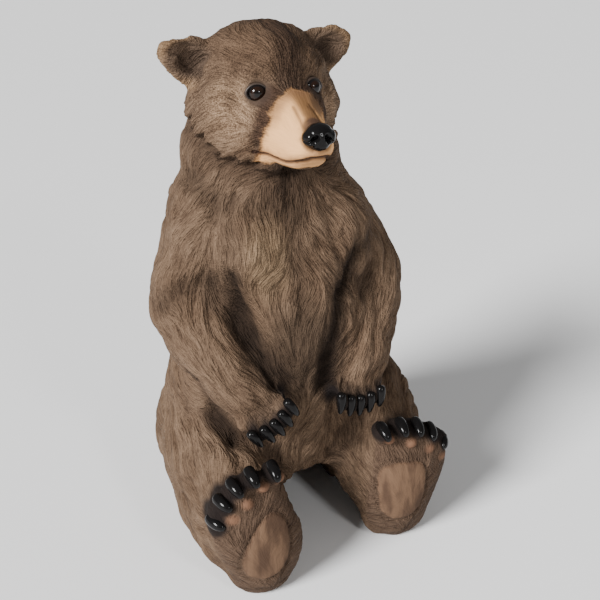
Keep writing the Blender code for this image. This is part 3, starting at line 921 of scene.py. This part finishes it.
def makeStrands(taps=7):
    # noise drawn out along the fur: several samples along the flow, averaged
    group = bpy.data.node_groups.new("furStrands", "ShaderNodeTree")
    group.interface.new_socket("Flow", in_out="INPUT", socket_type="NodeSocketVector")
    for name in ("Scale", "Step", "Contrast"):
        group.interface.new_socket(name, in_out="INPUT", socket_type="NodeSocketFloat")
    group.interface.new_socket("Strand", in_out="OUTPUT", socket_type="NodeSocketFloat")
    entry, result = group.nodes.new("NodeGroupInput"), group.nodes.new("NodeGroupOutput")
    place = group.nodes.new("ShaderNodeTexCoord").outputs["Object"]
    total = None
    for k in range(taps):
        reach = mathNode(group, "MULTIPLY", entry.outputs["Step"], float(k - taps // 2))
        slide = addNode(group, "ShaderNodeVectorMath", operation="SCALE")
        group.links.new(entry.outputs["Flow"], slide.inputs[0])
        group.links.new(reach, slide.inputs["Scale"])
        moved = addNode(group, "ShaderNodeVectorMath", operation="ADD")
        group.links.new(place, moved.inputs[0])
        group.links.new(slide.outputs[0], moved.inputs[1])
        noise = noiseOf(group, moved.outputs[0], entry.outputs["Scale"], 0.0)
        total = noise if total is None else mathNode(group, "ADD", total, noise)
    centred = mathNode(group, "SUBTRACT", mathNode(group, "DIVIDE", total, float(taps)), 0.5)
    strong = mathNode(group, "MULTIPLY", centred, entry.outputs["Contrast"])
    group.links.new(mathNode(group, "ADD", strong, 0.5, clamp=True), result.inputs["Strand"])
    return group


coat = {
    "base": (0.122, 0.081, 0.054),
    "roughness": 0.85,
    "specular": 0.12,
    # paint laid over the base in this order: mask, colour, strength
    "layers": [
        ("headTop", (0.062, 0.037, 0.023), 0.55),
        ("cheek", (0.290, 0.195, 0.125), 0.55),
        ("crown", (0.026, 0.015, 0.010), 0.80),
        ("temple", (0.042, 0.024, 0.015), 0.50),
        ("mottle", (0.062, 0.037, 0.022), 0.40),
        # throat painted darker: partly its own darker brown, partly a painted shadow under the chin
        ("throatToneAndShadow", (0.034, 0.021, 0.013), 0.72),
        # painted highlight on the bear's right chest, the side turned to the key light
        ("chestLight", (0.200, 0.140, 0.085), 0.55),
        # painted shade on the belly, in the recess between the forearms
        ("belly", (0.036, 0.024, 0.016), 0.80),
        ("earRim", (0.220, 0.140, 0.078), 0.65),
        ("earHollow", (0.080, 0.055, 0.040), 0.75),
        ("earPit", (0.030, 0.020, 0.015), 0.50),
        # painted shade in the deep folds between the large forms
        ("hollow", (0.018, 0.011, 0.008), 0.52),
        # painted shadow along the ruff, mostly on the neck below it
        ("ruff", (0.022, 0.013, 0.009), 0.75),
        # painted shade in the folds
        ("creaseShade", (0.010, 0.006, 0.004), 0.90),
        ("sole", (0.072, 0.046, 0.032), 0.80),
        ("toes", (0.007, 0.005, 0.005), 0.95),
        ("fingers", (0.007, 0.005, 0.005), 0.95),
        ("smudge", (0.032, 0.016, 0.010), 0.80),
        ("muzzle", (0.72, 0.385, 0.160), 1.0),
        ("bridge", (0.105, 0.052, 0.022), 0.90),
        ("muzzleRoot", (0.150, 0.075, 0.038), 0.75),
        # painted shade on the left side of the snout, the side turned from the key light
        ("farSnoutShade", (0.070, 0.042, 0.028), 0.75),
        ("behindNose", (0.050, 0.028, 0.019), 0.93),
        ("noseLines", (0.075, 0.038, 0.020), 0.75),
        ("lips", (0.200, 0.095, 0.050), 0.50),
        ("socket", (0.032, 0.020, 0.015), 0.75),
        ("mouth", (0.025, 0.011, 0.008), 0.95),
        ("underNose", (0.010, 0.008, 0.008), 1.0),
        ("toePad", (0.190, 0.095, 0.055), 0.65),
    ],
    "solePad": {"dark": (0.072, 0.042, 0.027), "light": (0.138, 0.082, 0.050), "clouds": (95, 60, 24)},
    # dark wash in the grooves and dry-brushed ridges, for the values of the strands between the two bounds:
    # partly the paint's own, partly painted shade in the grooves and painted highlight on the ridges
    "grooveTint": (0.36, 0.31, 0.27),
    "ridgeTint": (1.72, 1.70, 1.64),
    "tintFrom": 0.22,
    "tintTo": 0.88,
    "tintOnFur": 0.8,
    "tintOnSkin": 0.12,
    "fine": {"Scale": 820.0, "Step": 0.0012, "Contrast": 3.8},
    "coarse": {"Scale": 330.0, "Step": 0.0028, "Contrast": 3.0},
    "speckle": {"scale": 760.0, "strength": 1.1},
    "shadeOf": {"fine": 0.42, "coarse": 0.28, "tuft": 0.15, "lock": 0.12},
    "bumpOf": {"fine": 0.55, "coarse": 0.75, "distance": 0.0026},
}


def strandsOf(tree):
    # the values of the fine and the coarse strands
    group = makeStrands()
    found = {}
    for name in ("fine", "coarse"):
        node = addNode(tree, "ShaderNodeGroup", node_tree=group)
        tree.links.new(attributeOf(tree, "flow", "Vector"), node.inputs["Flow"])
        for key, value in coat[name].items():
            node.inputs[key].default_value = value
        found[name] = node.outputs["Strand"]
    return found


def layeredPaint(tree):
    colour = coat["base"]
    for name, paint, strength in coat["layers"]:
        mask = mathNode(tree, "MULTIPLY", attributeOf(tree, name), strength, clamp=True)
        colour = mixColour(tree, mask, colour, paint)
    return colour


def cloudyPad(tree, place):
    stretched = addNode(tree, "ShaderNodeVectorMath", operation="MULTIPLY")
    tree.links.new(place, stretched.inputs[0])
    stretched.inputs[1].default_value = coat["solePad"]["clouds"]
    clouds = remapped(tree, noiseOf(tree, stretched.outputs[0], 1.0, 5.0), 0.35, 0.65)
    return mixColour(tree, clouds, coat["solePad"]["dark"], coat["solePad"]["light"])


def paintFur():
    made, tree, shader = newMaterial("paintedFur", coat["base"], coat["roughness"], coat["specular"])
    place = tree.nodes.new("ShaderNodeTexCoord").outputs["Object"]
    strands = strandsOf(tree)
    onPad = remapped(tree, attributeOf(tree, "solePad"), -0.03, 0.05)
    colour = mixColour(tree, onPad, layeredPaint(tree), cloudyPad(tree, place))

    shade = coat["shadeOf"]
    strand = weighed(tree, (strands["fine"], shade["fine"]), (strands["coarse"], shade["coarse"]),
                     (attributeOf(tree, "tuft"), shade["tuft"]), (attributeOf(tree, "lock"), shade["lock"]))
    # the short fur of the face is speckled too
    centred = mathNode(tree, "SUBTRACT", noiseOf(tree, place, coat["speckle"]["scale"], 1.0), 0.5)
    speckle = mathNode(tree, "MULTIPLY", centred, coat["speckle"]["strength"])
    strand = mathNode(tree, "ADD", strand, mathNode(tree, "MULTIPLY", speckle, attributeOf(tree, "short")))
    # the strands tint the paint darker in the grooves and lighter on the ridges, partly the paint's own and
    # partly painted shade and highlight
    lit = remapped(tree, strand, coat["tintFrom"], coat["tintTo"], "LINEAR")
    tint = mixColour(tree, lit, coat["grooveTint"], coat["ridgeTint"])
    amount = mathNode(tree, "MULTIPLY_ADD", attributeOf(tree, "furry"), coat["tintOnFur"], coat["tintOnSkin"])
    colour = mixColour(tree, amount, colour, mixColour(tree, 1.0, colour, tint, "MULTIPLY"))
    tree.links.new(colour, shader.inputs["Base Color"])

    bump = tree.nodes.new("ShaderNodeBump")
    bump.inputs["Distance"].default_value = coat["bumpOf"]["distance"]
    height = weighed(tree, *((strands[name], coat["bumpOf"][name]) for name in strands))
    tree.links.new(mathNode(tree, "MULTIPLY", height, amount), bump.inputs["Height"])
    tree.links.new(bump.outputs["Normal"], shader.inputs["Normal"])
    return made


# The smooth paints: the second colour lies where the mask is
gloss = {
    "clawBlack": {"colour": (0.005, 0.0045, 0.0045), "roughness": 0.16, "specular": 0.15},
    "eyeGlass": {
        "colour": (0.004, 0.003, 0.003), "second": (0.013, 0.0055, 0.003), "mask": "iris",
        "roughness": 0.05, "specular": 0.30,
    },
    "lidPaint": {
        "colour": (0.006, 0.004, 0.004), "second": (0.042, 0.029, 0.022), "mask": "rim",
        "roughness": 0.40, "specular": 0.25,
    },
}


def glossPaint(name):
    values = gloss[name]
    made, tree, shader = newMaterial(name, values["colour"], values["roughness"], values["specular"])
    if "mask" in values:
        colour = mixColour(tree, attributeOf(tree, values["mask"]), values["colour"], values["second"])
        tree.links.new(colour, shader.inputs["Base Color"])
    return made


def paint(material, *pieces):
    for piece in pieces:
        piece.data.materials.clear()
        piece.data.materials.append(material)


paint(paintFur(), bear)
paint(glossPaint("clawBlack"), nose, *clawPieces)
paint(glossPaint("eyeGlass"), *eyes.values())
paint(glossPaint("lidPaint"), *lids)
print("paint mixed")

# Every piece rides on the one body
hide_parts("bear_figure")
for piece in [bear, nose] + lids + clawPieces:
    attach(piece, "root")
for side, piece in eyes.items():
    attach(piece, "root")
    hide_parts(side + "_eye")

# A pale floor under soft light
stage = {
    "floorSize": 60,
    "floorHeight": -0.0005,
    "floorColour": (0.90, 0.90, 0.90),
    "floorRoughness": 0.7,
    "worldColour": (1.0, 1.0, 1.0),
    "worldStrength": 0.27,
    "backdropStrength": 3.5,
    "key": {"from": (-0.84, -0.26, 0.52), "softness": math.radians(22), "strength": 7.6},
    "fill": {"place": (0.3, -2.2, 1.5), "aim": (0, 0, 0.3), "size": 0.35, "power": 16},
}
# The camera of the photograph, fitted to the bear
view = {
    "azimuth": math.radians(-24.3),
    "elevation": math.radians(24.5),
    "distance": 170.0,
    "target": (3.2, 0, 46.8),
    "roll": math.radians(-0.8),
    "focalPixels": 867.0,
    "framePixels": 600.0,
}


def setFloor():
    bpy.ops.mesh.primitive_plane_add(size=stage["floorSize"], location=(0, 0, stage["floorHeight"]))
    floor = bpy.context.object
    floor.name = "floor"
    floorPaint, _, _ = newMaterial("paleFloor", stage["floorColour"], stage["floorRoughness"])
    paint(floorPaint, floor)
    settle(floor)


def setWorld():
    world = bpy.data.worlds.new("studio")
    bpy.context.scene.world = world
    world.use_nodes = True
    tree = world.node_tree
    softLight = tree.nodes["Background"]
    backdrop = tree.nodes.new("ShaderNodeBackground")
    for node, strength in ((softLight, stage["worldStrength"]), (backdrop, stage["backdropStrength"])):
        node.inputs["Color"].default_value = (*stage["worldColour"], 1)
        node.inputs["Strength"].default_value = strength
    seen = tree.nodes.new("ShaderNodeMixShader")
    tree.links.new(tree.nodes.new("ShaderNodeLightPath").outputs["Is Camera Ray"], seen.inputs["Fac"])
    tree.links.new(softLight.outputs[0], seen.inputs[1])
    tree.links.new(backdrop.outputs[0], seen.inputs[2])
    tree.links.new(seen.outputs[0], tree.nodes["World Output"].inputs["Surface"])


def setLights():
    key, fill = stage["key"], stage["fill"]
    bpy.ops.object.light_add(type="SUN", location=Vector(key["from"]) * 3)
    sun = bpy.context.object
    sun.name = "keyLight"
    sun.rotation_euler = (-Vector(key["from"])).to_track_quat("-Z", "Y").to_euler()
    sun.data.angle = key["softness"]
    sun.data.energy = key["strength"]
    bpy.ops.object.light_add(type="AREA", location=fill["place"])
    lamp = bpy.context.object
    lamp.name = "fillLight"
    lamp.rotation_euler = (Vector(fill["aim"]) - Vector(fill["place"])).to_track_quat("-Z", "Y").to_euler()
    lamp.data.size = fill["size"]
    lamp.data.energy = fill["power"]


def setCamera():
    azimuth, elevation, roll = view["azimuth"], view["elevation"], view["roll"]
    level = Vector((math.sin(azimuth), -math.cos(azimuth), 0))
    backward = level * math.cos(elevation) + Vector((0, 0, math.sin(elevation)))
    rightward = Vector((math.cos(azimuth), math.sin(azimuth), 0))
    upward = backward.cross(rightward)
    rightTurned = rightward * math.cos(roll) + upward * math.sin(roll)
    upTurned = -rightward * math.sin(roll) + upward * math.cos(roll)
    turn = Matrix((rightTurned, upTurned, backward)).transposed().to_4x4()
    bpy.ops.object.camera_add()
    camera = bpy.context.object
    place = placed(view["target"]) + backward * view["distance"] * unit
    camera.matrix_world = Matrix.Translation(place) @ turn
    camera.data.sensor_fit = "HORIZONTAL"
    camera.data.lens = view["focalPixels"] / view["framePixels"] * camera.data.sensor_width
    bpy.context.scene.camera = camera


setFloor()
setWorld()
setLights()
setCamera()
print("camera set")
